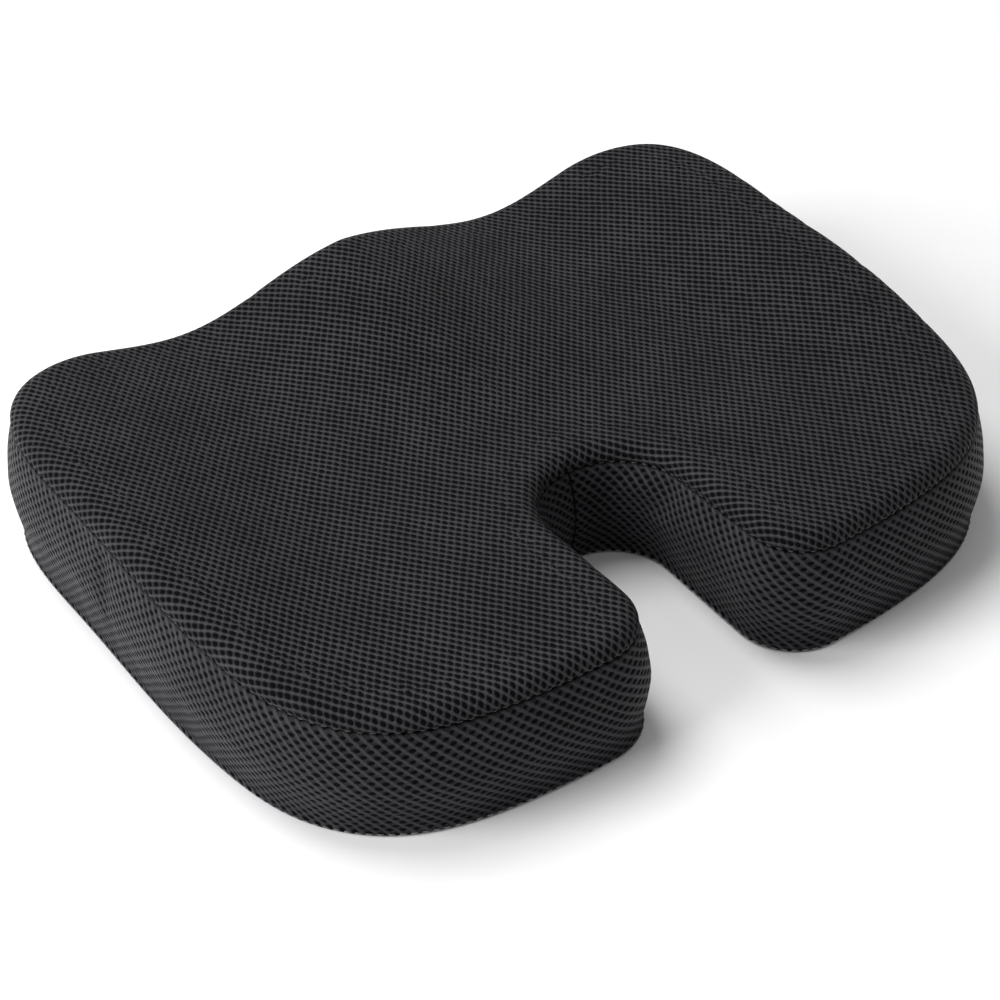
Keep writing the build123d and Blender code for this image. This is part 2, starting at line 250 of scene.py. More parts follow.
class Cloth:
    """A mesh under construction, with a region name and a grain place (mm) for each part of it."""

    def __init__(self):
        self.points, self.grain, self.faces, self.regions = [], [], [], []

    def ring(self, points, grain):
        """Adds points and returns their indices."""
        first = len(self.points)
        self.points.extend(points)
        self.grain.extend(grain)
        return np.arange(first, first + len(points))

    def band(self, low, high, region):
        """Quads between two rings; region names the piece at each station, or None for an opening."""
        n = len(low)
        for i in range(n):
            j = (i + 1) % n
            name = region(i)
            if name:
                self.faces.append((low[i], low[j], high[j], high[i]))
                self.regions.append(name)

    def cap(self, ring, height, region, spacing, upward=True):
        """Fills a ring with triangles at the heights that a function of x and y gives."""
        edge = np.array([self.points[i][:2] for i in ring])
        grid, faces = fill_ring(edge, spacing)
        first = len(self.points)
        self.points.extend(np.c_[grid, height(grid[:, 0], grid[:, 1])])
        self.grain.extend(np.c_[grid, np.zeros(len(grid))])
        index = np.r_[ring, np.arange(first, first + len(grid))]
        for face in faces:
            a, b, c = (index[i] for i in face)
            p, q, r = (np.array(self.points[i]) for i in (a, b, c))
            up = np.cross(q - p, r - p)[2] > 0
            self.faces.append((a, b, c) if up == upward else (a, c, b))
            self.regions.append(region)


def wall_region(upper):
    """Which band piece a face between stations i and i+1 of the wall belongs to."""
    def name(i):
        if i < FRONT_STEPS or i >= COUNT - FRONT_STEPS:
            return upper
        return "side_band_right" if i < APEX else "side_band_left"
    return name


def wall_place(side_out, front_out, z):
    """A ring of the wall: its distance outside the seam line on the sides and on the front, and height."""
    out = front_out + (side_out - front_out) * SIDE_WEIGHT
    return np.c_[LOOP + OUT * np.reshape(out, (-1, 1)), np.broadcast_to(z, COUNT)]


def signed_run():
    """Length along the seam line from the middle of the front, negative on the -X half."""
    total = RUN[-1] + np.linalg.norm(LOOP[-1] - LOOP[0])
    return np.where(np.arange(COUNT) <= APEX, RUN, RUN - total)


def wall_levels():
    """Rings of the wall above the lip: their heights, and the front piece that lies below each."""
    low, high = ZIP_Z - SLOT_HALF, ZIP_Z + SLOT_HALF
    levels = [(np.full(COUNT, z), "front_band_lower") for z in (LOWER_BAND_Z, low)]
    levels += [(np.full(COUNT, z), None) for z in (ZIP_Z - SLOT_MID, ZIP_Z + SLOT_MID, high)]
    for share in np.linspace(0, 1, UPPER_BAND_RINGS)[1:]:
        levels.append((high + (SEAM_Z - NECK_DROP - high) * share, "front_band_upper"))
    for drop in (FOLD_DROP, 0.0):
        levels.append((SEAM_Z - drop, "front_band_upper"))
    return levels


def wall_ring(z, rings_left):
    """A ring of the wall; the last two turn in to the top seam, and the join seams dip."""
    if rings_left == 0:
        place = wall_place(*FOLD_OUT, z)
    elif rings_left == 1:
        place = wall_place(*NECK_OUT, z)
    else:
        share = (z - BASE_Z) / (SEAM_Z - BASE_Z)
        side_out = np.interp(share, WALL_SHARES, WALL_OUT)
        front_out = np.interp(share, WALL_SHARES, FRONT_OUT)
        place = wall_place(side_out, front_out, z)
    for i in JOINS:
        place[i, :2] -= OUT[i] * JOIN_DIP
    return place


def build_cover():
    """The whole sewn cover as one mesh, so that its pieces stay joined while it is filled.

    Also gives how firmly each point is held in the simulation, where that is set here.
    """
    cover = Cloth()
    run = signed_run()
    level = np.zeros(COUNT)
    pins = {}

    def add(points, grain, pin=None):
        ring = cover.ring(points, grain)
        if pin is not None:
            pins.update(dict.fromkeys(ring.tolist(), pin))
        return ring

    def band_grain(height):
        return np.c_[run, np.broadcast_to(height, COUNT), level]

    # base fabric, rolled up at its edge
    under, edge = wall_place(*UNDER_RING), wall_place(*ROLLED_RING)
    lower = add(under, np.c_[under[:, :2], level], 1.0)
    cover.cap(lower, lambda x, y: np.full(len(x), UNDER_RING[2]), "base_panel", BASE_SPACING, upward=False)
    for i in range(lower[-1] + 1, len(cover.points)):
        pins[i] = 1.0
    rolled = add(edge, np.c_[edge[:, :2], level], 1.0)
    cover.band(lower, rolled, lambda i: "base_panel")

    # lip, where the strip below its first ring is still base fabric
    for k, (side_out, front_out, z) in enumerate(LIP_RINGS):
        pin = LIP_HOLD if k == len(LIP_RINGS) - 1 else 1.0
        ring = add(wall_place(side_out, front_out, z), band_grain(z - SEAM_Z), pin)
        cover.band(rolled, ring, wall_region("front_band_lower") if k else lambda i: "base_panel")
        rolled = ring

    # wall, with the slot for the zip left open in the flat front
    flat_front = (np.abs(LOOP[:, 0]) <= FLAT_HALF + 1e-6) & (LOOP[:, 1] < FRONT_Y + 0.01)
    levels = wall_levels()
    for k, (z, name) in enumerate(levels):
        rings_left = len(levels) - 1 - k
        ring = add(wall_ring(z, rings_left), band_grain(z - SEAM_Z), None if rings_left else 1.0)
        near_slot = abs(float(np.mean(z)) - ZIP_Z) < SLOT_HALF + 0.1
        for i in range(COUNT):
            if i in JOINS or (near_slot and flat_front[i]):
                pins[int(ring[i])] = 1.0
        cover.band(rolled, ring, wall_region(name))
        rolled = ring

    # top panel: rounded shoulder, then the contoured top
    for angle in SHOULDER_ANGLES:
        a = math.radians(angle)
        puff = SHOULDER_PUFF * math.sin(2 * a)
        back = SHOULDER_R * (1 - math.cos(a)) - puff * math.cos(a)
        z = SEAM_Z + SHOULDER_RISE * math.sin(a) + puff * math.sin(a)
        reach = (math.pi / 2 - a) * (SHOULDER_R + SHOULDER_RISE) / 2
        ring = add(np.c_[LOOP - OUT * back, z], np.c_[SHOULDER + OUT * reach, level])
        cover.band(rolled, ring, lambda i: "top_panel")
        rolled = ring
    for inset in CROWN_INSETS:
        place = SHOULDER - OUT * inset
        ring = add(np.c_[place, top_height(place[:, 0], place[:, 1])], np.c_[place, level])
        cover.band(rolled, ring, lambda i: "top_panel")
        rolled = ring
    cover.cap(rolled, top_height, "top_panel", TOP_SPACING)
    return cover, pins


# ================================================================ meshes and pieces

def mesh_object(name, points, faces, grain=None):
    """A smooth-shaded object from points in millimetres, with its fabric's grain places if it has them."""
    mesh = bpy.data.meshes.new(name)
    places = [tuple(p) for p in np.asarray(points, float) * MM]
    mesh.from_pydata(places, [], [tuple(map(int, f)) for f in faces])
    if grain is not None:
        layer = mesh.attributes.new("grain", "FLOAT_VECTOR", "POINT")
        layer.data.foreach_set("vector", np.asarray(grain, np.float32).ravel())
    mesh.polygons.foreach_set("use_smooth", [True] * len(mesh.polygons))
    mesh.update()
    piece = bpy.data.objects.new(name, mesh)
    bpy.context.scene.collection.objects.link(piece)
    return piece


def fill_with_air(cover, pins):
    """Blow the sewn cover up a little against its seams; returns the settled points, in mm."""
    start = np.array(cover.points, float)
    body = mesh_object("cover_in_progress", start, cover.faces)
    group = body.vertex_groups.new(name="held")
    for i, (x, y, z) in enumerate(start):
        on_top = z > top_height(x, y) - 2.0
        group.add([i], pins.get(i, TOP_HOLD if on_top else WALL_HOLD), "REPLACE")
    cloth = body.modifiers.new("cloth", "CLOTH")
    settings = cloth.settings
    settings.quality = 6
    settings.mass = 0.25
    settings.tension_stiffness = settings.compression_stiffness = 22
    settings.shear_stiffness = 8
    settings.bending_stiffness = 6.0
    settings.use_pressure = True
    settings.uniform_pressure_force = 3.0
    settings.shrink_min = -0.004
    settings.vertex_group_mass = "held"
    settings.pin_stiffness = 1.0
    settings.effector_weights.gravity = 0
    scene = bpy.context.scene
    cloth.point_cache.frame_start, cloth.point_cache.frame_end = 1, FRAMES
    for step in range(1, FRAMES + 1):
        scene.frame_set(step)
    settled = body.evaluated_get(bpy.context.evaluated_depsgraph_get()).to_mesh()
    moved = np.empty(len(start) * 3, np.float32)
    settled.vertices.foreach_get("co", moved)
    moved = moved.reshape(-1, 3) / MM
    scene.frame_set(1)
    bpy.data.objects.remove(body)
    shift = moved - start
    size = np.linalg.norm(shift, axis=1, keepdims=True)
    return start + shift * np.minimum(1.0, MOST_MOVE / np.maximum(size, 1e-9))


def piece_of(cover, points, region, name):
    """One cut piece of the cover, as its own object."""
    faces = [f for f, r in zip(cover.faces, cover.regions) if r == region]
    used = sorted({int(i) for f in faces for i in f})
    place = {i: k for k, i in enumerate(used)}
    grain = np.array([cover.grain[i] for i in used], float)
    if region == "side_band_left":
        grain[:, 0] = -np.abs(grain[:, 0])      # the points on the rear join count on this side too
    return mesh_object(name, points[used], [[place[int(i)] for i in f] for f in faces], grain)


def thicken(piece, inward):
    """Gives a fabric piece its thickness, in millimetres, and rounds it off."""
    solid = piece.modifiers.new("thickness", "SOLIDIFY")
    solid.thickness = inward * MM
    solid.offset = -1
    solid.edge_crease_outer = solid.edge_crease_rim = 1.0
    smooth = piece.modifiers.new("smooth", "SUBSURF")
    smooth.levels = smooth.render_levels = 1
    return piece


def place_piece(piece, body, material, slot, *nodes):
    """Puts a piece on its body with its material, in place of the CAD nodes that it stands for."""
    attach(piece, body)
    if nodes:
        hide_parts(*nodes)
    piece.data.materials.clear()
    piece.data.materials.append(material)
    return piece


# ================================================================ small repeated parts

def turn(k, sides):
    """Angle of step k of so many even steps round a circle."""
    return 2 * math.pi * k / sides


def tube_faces(first, sides, rings, flip=False):
    """Quads between rings of points that follow each other."""
    faces = []
    for r in range(rings - 1):
        for k in range(sides):
            a, b = first + r * sides + k, first + r * sides + (k + 1) % sides
            face = (a, b, b + sides, a + sides)
            faces.append(face[::-1] if flip else face)
    return faces


def end_faces(first, sides, rings, flip=False):
    """The two flat ends of such a tube."""
    last = first + (rings - 1) * sides
    ends = [tuple(reversed(range(first, first + sides))), tuple(range(last, last + sides))]
    return [face[::-1] for face in ends] if flip else ends


def dashes(name, spots, radius, sides=6):
    """Stitches: rounded dashes, each from its two ends; they bulge in the middle as thread does."""
    points, faces = [], []
    rings = ((-1.0, 0.25), (-0.8, 0.72), (-0.35, 1.0), (0.35, 1.0), (0.8, 0.72), (1.0, 0.25))
    sink = 0.55
    for start, end, lift in spots:
        start, end, lift = Vector(start), Vector(end), Vector(lift).normalized()
        half = (end - start) / 2
        along = half.normalized()
        across = along.cross(lift).normalized()
        lift = across.cross(along)
        first = len(points)
        for t, size in rings:
            centre = (start + end) / 2 + half * t - lift * radius * sink * t * t
            for k in range(sides):
                a = turn(k, sides)
                points.append(centre + (across * math.cos(a) + lift * math.sin(a)) * radius * size)
        faces += tube_faces(first, sides, len(rings)) + end_faces(first, sides, len(rings))
    return mesh_object(name, points, faces)


def along_loop(ring, pitch, length):
    """Dash ends at even steps round a closed ring of points, each with its outward direction."""
    closed = np.vstack([ring, ring[:1]])
    run = np.r_[0, np.cumsum(np.linalg.norm(np.diff(closed, axis=0), axis=1))]
    count = int(run[-1] / pitch)
    outward = np.c_[OUT, np.zeros(COUNT)]

    def at(distance):
        return np.array([np.interp(distance % run[-1], run, closed[:, k]) for k in range(3)])

    spots = []
    for s in np.arange(count) * run[-1] / count:
        near = int(np.searchsorted(run, s % run[-1])) % COUNT
        spots.append((at(s), at(s + length), outward[near]))
    return spots


def sweep(name, profile, path, turns):
    """A closed profile (side, out) carried along a path; turns gives the (side, out) axes at each stop."""
    points, grain = [], []
    run = 0.0
    for k, place in enumerate(path):
        if k:
            run += (Vector(place) - Vector(path[k - 1])).length
        side, out = turns[k]
        for a, b in profile:
            points.append(Vector(place) + Vector(side) * a + Vector(out) * b)
            grain.append((run, a, 0))
    size = (0, len(profile), len(path))
    return mesh_object(name, points, tube_faces(*size) + end_faces(*size), grain)


def rounded_strip(width, thick, steps, edge):
    """Profile of a woven strip: flat faces, and selvedges rounded over the given width."""
    half = width / 2 - edge
    across = [(-half + 2 * half * k / steps, thick / 2) for k in range(steps + 1)]
    right = [(half + edge * math.cos(a), thick / 2 * math.sin(a)) for a in np.radians((50, 0, -50))]
    left = [(-half - edge * math.cos(a), -thick / 2 * math.sin(a)) for a in np.radians((50, 0, -50))]
    return across + right + [(x, -y) for x, y in reversed(across)] + left


# ================================================================ materials

class Graph:
    """A few shorthands for building one material's nodes."""

    def __init__(self, name):
        self.material = bpy.data.materials.new(name)
        self.material.use_nodes = True
        self.tree = self.material.node_tree
        self.tree.nodes.clear()

    def add(self, kind, inputs=(), **settings):
        """A node of this kind, with its inputs linked or set."""
        node = self.tree.nodes.new(kind)
        for key, value in settings.items():
            setattr(node, key, value)
        for key, value in dict(inputs).items():
            self.put(node.inputs[key], value)
        return node

    def put(self, socket, value):
        if isinstance(value, bpy.types.NodeSocket):
            self.tree.links.new(value, socket)
        else:
            socket.default_value = value

    def math(self, operation, *values):
        return self.add("ShaderNodeMath", enumerate(values), operation=operation).outputs[0]

    def vector(self, operation, *values, out=0):
        return self.add("ShaderNodeVectorMath", enumerate(values), operation=operation).outputs[out]

    def scaled(self, vector, factor):
        inputs = {0: vector, "Scale": factor}
        return self.add("ShaderNodeVectorMath", inputs, operation="SCALE").outputs[0]

    def remap(self, value, low, high, to_low, to_high, smooth=True):
        node = self.add("ShaderNodeMapRange", interpolation_type="SMOOTHSTEP" if smooth else "LINEAR")
        for socket, item in zip(node.inputs, (value, low, high, to_low, to_high)):
            self.put(socket, item)
        return node.outputs[0]

    def mix(self, factor, low, high):
        node = self.add("ShaderNodeMix", data_type="RGBA")
        self.put(node.inputs[0], factor)
        self.put(node.inputs[6], (*low, 1) if isinstance(low, tuple) else low)
        self.put(node.inputs[7], (*high, 1) if isinstance(high, tuple) else high)
        return node.outputs[2]

    def noise(self, vector, scale, detail=2.0, rough=0.5, out=0):
        inputs = {"Vector": vector, "Scale": scale, "Detail": detail, "Roughness": rough}
        return self.add("ShaderNodeTexNoise", inputs).outputs[out]

    def grain(self):
        """Place on the cloth as it was cut, in millimetres."""
        return self.add("ShaderNodeAttribute", attribute_name="grain").outputs["Vector"]

    def place(self):
        """Place on the piece, in millimetres."""
        return self.scaled(self.add("ShaderNodeTexCoord").outputs["Object"], 1 / MM)

    def shade(self, colour, roughness, height, depth_mm, bump=1.0, **values):
        """Ends the graph in one shader with a bump; further values are set on the shader itself."""
        shader = self.add("ShaderNodeBsdfPrincipled", {"Base Color": colour, "Roughness": roughness})
        for key, value in values.items():
            shader.inputs[key.replace("_", " ")].default_value = value
        inputs = {"Height": height, "Strength": bump, "Distance": depth_mm * MM}
        relief = self.add("ShaderNodeBump", inputs)
        self.put(shader.inputs["Normal"], relief.outputs[0])
        out = self.add("ShaderNodeOutputMaterial")
        self.put(out.inputs[0], shader.outputs[0])
        return self.material


def spacer_mesh(name, cell, hole, dark, light, seam_reach=0.0, joins=()):
    """Warp-knitted spacer mesh: a centred lattice of oval openings between rounded yarns.

    Where it is a band, its holes close up towards the top seam, and painted shade darkens its colour in the
    folds at that seam and at the join seams, which lie at the given lengths from the middle of the front.
    """
    g = Graph(name)
    grain = g.grain()

    # two lattices, half a cell apart; span is the distance from a hole's centre over its half size
    drift = g.vector("SUBTRACT", g.noise(grain, 0.045, 2.0, out=1), (0.5, 0.5, 0.5))
    tremor = g.vector("SUBTRACT", g.noise(grain, 0.42, 1.0, out=1), (0.5, 0.5, 0.5))
    spot = g.vector("ADD", grain, g.vector("ADD", g.scaled(drift, 1.6), g.scaled(tremor, 0.35)))
    spans = []
    for shift in (0.0, 0.5):
        at = g.vector("ADD", g.vector("DIVIDE", spot, (*cell, 1.0)), (shift, shift, 0.0))
        local = g.vector("SUBTRACT", g.vector("FRACTION", at), (0.5, 0.5, 0.5))
        local = g.vector("MULTIPLY", local, (cell[0] / hole[0], cell[1] / hole[1], 0.0))
        chance = g.add("ShaderNodeTexWhiteNoise", {"Vector": g.vector("FLOOR", at)}).outputs["Value"]
        span = g.vector("LENGTH", local, out=1)
        spans.append(g.math("MULTIPLY", span, g.remap(chance, 0, 1, 0.92, 1.14, smooth=False)))
    span = g.math("MINIMUM", *spans)
    if seam_reach:
        parts = g.add("ShaderNodeSeparateXYZ", {0: grain})
        along, above = parts.outputs[0], parts.outputs[1]
        # painted shade mask: strongest just below the top seam and along the join seams
        fold = g.remap(above, -1.3, -0.5, 0.0, 0.85)
        for join in joins:
            beside = g.math("ABSOLUTE", g.math("SUBTRACT", g.math("ABSOLUTE", along), join))
            fold = g.math("MAXIMUM", fold, g.remap(beside, 0.35, 1.0, 0.85, 0.0))
        span = g.math("MULTIPLY", span, g.remap(above, -seam_reach, -0.6, 1.0, 1.6))

    # the knit's diagonal bars, which stand out in the bump and get a painted highlight in their colour
    slant = g.vector("DOT_PRODUCT", spot, (2 * math.pi / cell[0], 2 * math.pi / cell[1], 0), out=1)
    bar_ridges_and_highlight = g.remap(g.math("COSINE", slant), 0.5, -0.95, 0.0, 1.0)
    opening = g.remap(span, 1.06, 0.84, 0.0, 1.0)
    yarn = g.remap(span, 0.8, 1.55, 0.0, 1.0)
    strands = g.noise(g.vector("MULTIPLY", grain, (1.0, 0.45, 1.0)), 2.4, 3.0, 0.6)
    patches = g.noise(grain, 0.028, 3.0)
    shade = g.math("ADD", g.math("MULTIPLY", strands, 0.75), g.math("MULTIPLY", patches, 0.5))
    # painted highlight on the bars, together with the yarns' random tone from strands and patches
    painted_highlight_and_tone = g.math("ADD", g.math("MULTIPLY", bar_ridges_and_highlight, 0.55), g.remap(shade, 0.42, 0.85, 0.0, 0.4))
    colour = g.mix(painted_highlight_and_tone, dark, light)
    # painted shade: the openings are coloured near black for the shade in their depth
    colour = g.mix(opening, colour, (0.0003, 0.0003, 0.0003))
    if seam_reach:
        # painted shade in the seam folds: the colour is taken almost to black there
        colour = g.mix(fold, colour, (0.0008, 0.0008, 0.0009))
    height = g.math("ADD", g.math("MULTIPLY", yarn, 0.6), g.math("MULTIPLY", strands, 0.22))
    height = g.math("ADD", height, g.math("MULTIPLY", bar_ridges_and_highlight, 0.35))
    roughness = g.remap(opening, 0, 1, 0.5, 0.95)
    return g.shade(
        colour, roughness, height, 1.2, 1.0,
        Sheen_Weight=0.015, Sheen_Roughness=0.35, Specular_IOR_Level=0.1,
    )


def woven(name, dark, light, pitch=(1.1, 1.1), chevron=0.0, roughness=0.55, sheen=0.3, relief=0.35):
    """Weave of crossing ribs at the given pitch; chevron is the width of a herringbone's stripes."""
    g = Graph(name)
    parts = g.add("ShaderNodeSeparateXYZ", {0: g.grain()})
    along, across = parts.outputs[0], parts.outputs[1]
    if chevron:
        fold = g.math("PINGPONG", across, chevron)
        along = g.math("ADD", along, g.math("MULTIPLY", fold, 0.8))
    ribs = g.math("SINE", g.math("MULTIPLY", along, 2 * math.pi / pitch[0]))
    cords = g.math("SINE", g.math("MULTIPLY", across, 2 * math.pi / pitch[1]))
    weave = g.math("MULTIPLY", ribs, g.math("ADD", g.math("MULTIPLY", cords, 0.4), 0.6))
    fibres = g.noise(g.grain(), 3.2, 3.0, 0.65)
    patches = g.noise(g.grain(), 0.09, 3.0)
    mottle = g.math("ADD", fibres, g.math("MULTIPLY", patches, 0.4))
    tone = g.math("ADD", g.math("MULTIPLY", weave, 0.22), mottle)
    colour = g.mix(g.remap(tone, 0.35, 1.0, 0.0, 1.0), dark, light)
    height = g.math("ADD", weave, g.math("MULTIPLY", fibres, 0.5))
    rough = g.remap(fibres, 0.3, 0.8, roughness - 0.08, roughness + 0.12)
    return g.shade(colour, rough, height, relief, 0.8, Sheen_Weight=sheen, Sheen_Roughness=0.4)


def thread(name, dark, light):
    """Sewing thread, a little fibrous."""
    g = Graph(name)
    fibres = g.noise(g.place(), 2.0, 3.0, 0.7)
    colour = g.mix(g.remap(fibres, 0.35, 0.7, 0.0, 1.0), dark, light)
    return g.shade(colour, g.remap(fibres, 0.3, 0.7, 0.42, 0.6), fibres, 0.12, 0.7, Sheen_Weight=0.3)


def moulded(name, dark, light, roughness):
    """Nylon or rubber: fine moulding grain and slight wear."""
    g = Graph(name)
    fine = g.noise(g.place(), 4.0, 3.0, 0.6)
    broad = g.noise(g.place(), 0.25, 3.0)
    colour = g.mix(g.remap(broad, 0.3, 0.75, 0.0, 1.0), dark, light)
    rough = g.remap(fine, 0.3, 0.7, roughness - 0.08, roughness + 0.14)
    return g.shade(colour, rough, fine, 0.06, 0.5, Coat_Weight=0.08)


def enamelled_metal(name):
    """Black enamel over metal, rubbed through a little on its edges."""
    g = Graph(name)
    edge = g.add("ShaderNodeNewGeometry").outputs["Pointiness"]
    scuffs = g.noise(g.place(), 0.9, 5.0, 0.7)
    fine = g.noise(g.place(), 6.0, 2.0)
    worn = g.math("MULTIPLY", g.remap(edge, 0.52, 0.6, 0.0, 1.0), g.remap(scuffs, 0.45, 0.62, 0.0, 1.0))
    colour = g.mix(worn, g.mix(scuffs, (0.012, 0.012, 0.014), (0.03, 0.03, 0.034)), (0.42, 0.41, 0.4))
    rough = g.math("ADD", g.remap(scuffs, 0.3, 0.8, 0.24, 0.4), g.math("MULTIPLY", worn, 0.1))
    height = g.math("SUBTRACT", g.math("MULTIPLY", fine, 0.2), worn)
    return g.shade(colour, rough, height, 0.05, 0.5, Metallic=0.75, Coat_Weight=0.25)


def foam_skin(name):
    """Moulded polyurethane foam: pale skin with fine open cells."""
    g = Graph(name)
    cells = g.add("ShaderNodeTexVoronoi", {"Vector": g.place(), "Scale": 0.9}).outputs["Distance"]
    broad = g.noise(g.place(), 0.03, 3.0)
    colour = g.mix(g.remap(broad, 0.3, 0.7, 0.0, 1.0), (0.72, 0.68, 0.55), (0.8, 0.77, 0.66))
    # painted shade: the colour darkens towards the middle of each open cell, in its pit
    colour = g.mix(g.remap(cells, 0.0, 0.25, 0.55, 0.0), colour, (0.45, 0.41, 0.3))
    return g.shade(colour, g.remap(cells, 0, 0.5, 0.95, 0.8), cells, 0.5, 0.6, Sheen_Weight=0.1)


def satin(name):
    """Blank care label: fine satin tape with a crease or two."""
    g = Graph(name)
    fine = g.add("ShaderNodeTexWave", {"Vector": g.grain(), "Scale": 0.8, "Distortion": 0.6}).outputs[0]
    creases = g.noise(g.grain(), 0.12, 3.0)
    # painted shade and highlight: the crease noise also sets the colour, darker in the creases' hollows and
    # paler on their crests
    colour = g.mix(creases, (0.7, 0.69, 0.66), (0.86, 0.86, 0.84))
    height = g.math("ADD", g.math("MULTIPLY", fine, 0.15), creases)
    return g.shade(colour, g.remap(creases, 0.3, 0.7, 0.38, 0.52), height, 0.4, 0.5, Sheen_Weight=0.35)


def studio_floor(name):
    """Plain pale floor."""
    g = Graph(name)
    speck = g.noise(g.place(), 0.02, 4.0)
    colour = g.mix(speck, (0.86, 0.86, 0.87), (0.9, 0.9, 0.905))
    return g.shade(colour, g.remap(speck, 0, 1, 0.75, 0.9), speck, 0.02, 0.2)


# the paler yarn colour gives the yarns' random tone and the painted highlight on the knit's bars
YARN_DARK, YARN_PALE_AND_HIGHLIGHT = (0.0075, 0.0075, 0.0085), (0.048, 0.048, 0.0545)
TOP_MESH = spacer_mesh("top_spacer_mesh", TOP_CELL, TOP_HOLE, YARN_DARK, YARN_PALE_AND_HIGHLIGHT)
BAND_MESH = spacer_mesh(
    "band_spacer_mesh", BAND_CELL, BAND_HOLE, YARN_DARK, YARN_PALE_AND_HIGHLIGHT, BAND_SEAM_REACH, (FLAT_HALF, HALF_RUN)
)
BASE_CLOTH = woven(
    "base_fabric_weave", (0.012, 0.012, 0.015), (0.045, 0.045, 0.05), (0.9, 0.9), roughness=0.62
)
TAPE_WEAVE = woven(
    "zip_tape_weave", (0.008, 0.008, 0.01), (0.03, 0.03, 0.034), (1.2, 0.8), chevron=1.3, sheen=0.15
)
STRAP_WEAVE = woven(
    "webbing_weave", (0.004, 0.004, 0.005), (0.018, 0.018, 0.021), (1.5, 0.8), chevron=2.1, roughness=0.5,
    relief=0.5,
)
PALE_THREAD = thread("pale_seam_thread", (0.07, 0.07, 0.075), (0.2, 0.2, 0.21))
DARK_THREAD = thread("dark_seam_thread", (0.012, 0.012, 0.014), (0.04, 0.04, 0.045))
NYLON = moulded("zip_coil_nylon", (0.01, 0.01, 0.012), (0.028, 0.028, 0.03), 0.34)
GRIP = moulded("grip_dot_rubber", (0.02, 0.02, 0.022), (0.05, 0.05, 0.054), 0.5)
ENAMEL = enamelled_metal("black_enamelled_metal")
FOAM = foam_skin("cream_foam")
LABEL = satin("blank_label_satin")


# ================================================================ the cover's pieces

COVER, PINS = build_cover()
POINTS = fill_with_air(COVER, PINS)
CUTS = (                 # CAD node, piece, material, slot and thickness in millimetres
    ("top_panel", "top_panel_mesh", TOP_MESH, "spacer_mesh", 2.2),
    ("side_band_right", "side_band_right_mesh", BAND_MESH, "spacer_mesh", 2.2),
    ("side_band_left", "side_band_left_mesh", BAND_MESH, "spacer_mesh", 2.2),
    ("front_band_upper", "front_band_upper_mesh", BAND_MESH, "spacer_mesh", 2.4),
    ("front_band_lower", "front_band_lower_mesh", BAND_MESH, "spacer_mesh", 2.0),
    ("base_panel", "base_panel_cloth", BASE_CLOTH, "base_fabric", 0.7),
)
for node, name, material, slot, thick in CUTS:
    piece = thicken(piece_of(COVER, POINTS, node, name), thick)
    place_piece(piece, "cushion", material, slot, node)


def build_foam():
    """The contoured foam core, a little inside the cover all round."""
    foam = Cloth()
    gap, foot_z, foot_inset = FOAM_GAP, BASE_Z + 1.4, 1.5
    rings = [wall_place(-gap - foot_inset, -gap - foot_inset, foot_z)]
    for share in (0.03, 0.12, 0.25, 0.4, 0.55, 0.7, 0.85, 0.97):
        z = BASE_Z + (SEAM_Z - BASE_Z) * share
        rings.append(wall_place(np.interp(share, WALL_SHARES, FOAM_OUT) - gap, -gap, z))
    for angle in (15, 38, 62, 90):
        a = math.radians(angle)
        back = gap + (SHOULDER_R - gap) * (1 - math.cos(a))
        rings.append(np.c_[LOOP - OUT * back, SEAM_Z + (SHOULDER_RISE - gap) * math.sin(a)])

    no_grain = np.zeros((COUNT, 3))
    ring = foam.ring(rings[0], no_grain)
    foam.cap(ring, lambda x, y: np.full(len(x), foot_z), "foam", 12.0, upward=False)
    for place in rings[1:]:
        upper = foam.ring(place, no_grain)
        foam.band(ring, upper, lambda i: "foam")
        ring = upper
    foam.cap(ring, lambda x, y: top_height(x, y) - gap, "foam", 8.0)
    return mesh_object("foam_core_body", foam.points, foam.faces)


foam_body = place_piece(build_foam(), "cushion", FOAM, "foam", "foam_core")


# ================================================================ seams

def front_line(x_low, x_high, z, pitch, length):
    """Dash ends along a level line on the front face."""
    y = FRONT_Y - 0.12
    count = int((x_high - x_low) / pitch)
    step = (x_high - x_low - length) / max(count - 1, 1)
    starts = [x_low + k * step for k in range(count)]
    return [((x, y, z), (x + length, y, z), (0, -1, 0)) for x in starts]


top_ring = wall_place(-1.0, -1.0, SEAM_Z + 0.1)
top_row = dashes("top_seam_stitches", along_loop(top_ring, 5.4, 2.9), 0.34)
place_piece(top_row, "cushion", DARK_THREAD, "webbing")

lip_ring = wall_place(3.75, 0.7, 1.9)
base_row = dashes("base_seam_stitches", along_loop(lip_ring, 5.0, 3.1), 0.36)
place_piece(base_row, "cushion", PALE_THREAD, "webbing")

row_end = FLAT_HALF - 2
edge_rows = []
for z in (ZIP_Z + SLOT_HALF + 2.6, ZIP_Z - SLOT_HALF - 2.4):
    edge_rows += front_line(-row_end, row_end, z, 4.2, 3.0)
place_piece(dashes("zip_topstitching", edge_rows, 0.3), "cushion", DARK_THREAD, "webbing")


# ================================================================ zip

BAND_IN = FRONT_Y + COVER_T
TAPE_INNER, TAPE_OUTER, TAPE_T = 1.6, 12.4, 0.55    # edges from the zip's centre line, and thickness
TAPE_CLOSING, CLOSED_FROM, CLOSED_TO = 1.45, 142, 146   # past the stops the tapes come together
TOOTH_PITCH = 2.5
TOOTH_DEPTH = 0.82
TOOTH_RINGS = (          # place along a tooth from its head, past the centre line, to its tail; half width
    (-1.5, 0.30), (-1.38, 0.52), (-1.05, 0.66), (-0.6, 0.6), (0.3, 0.5), (1.3, 0.5), (2.3, 0.56), (2.9, 0.3),
)
TEETH_OUT, CORD_OUT = 0.9, 0.75                     # how far they stand in front of the band's inside
CORD_Z, CORD_R = 2.55, 0.62
SIDES = 8


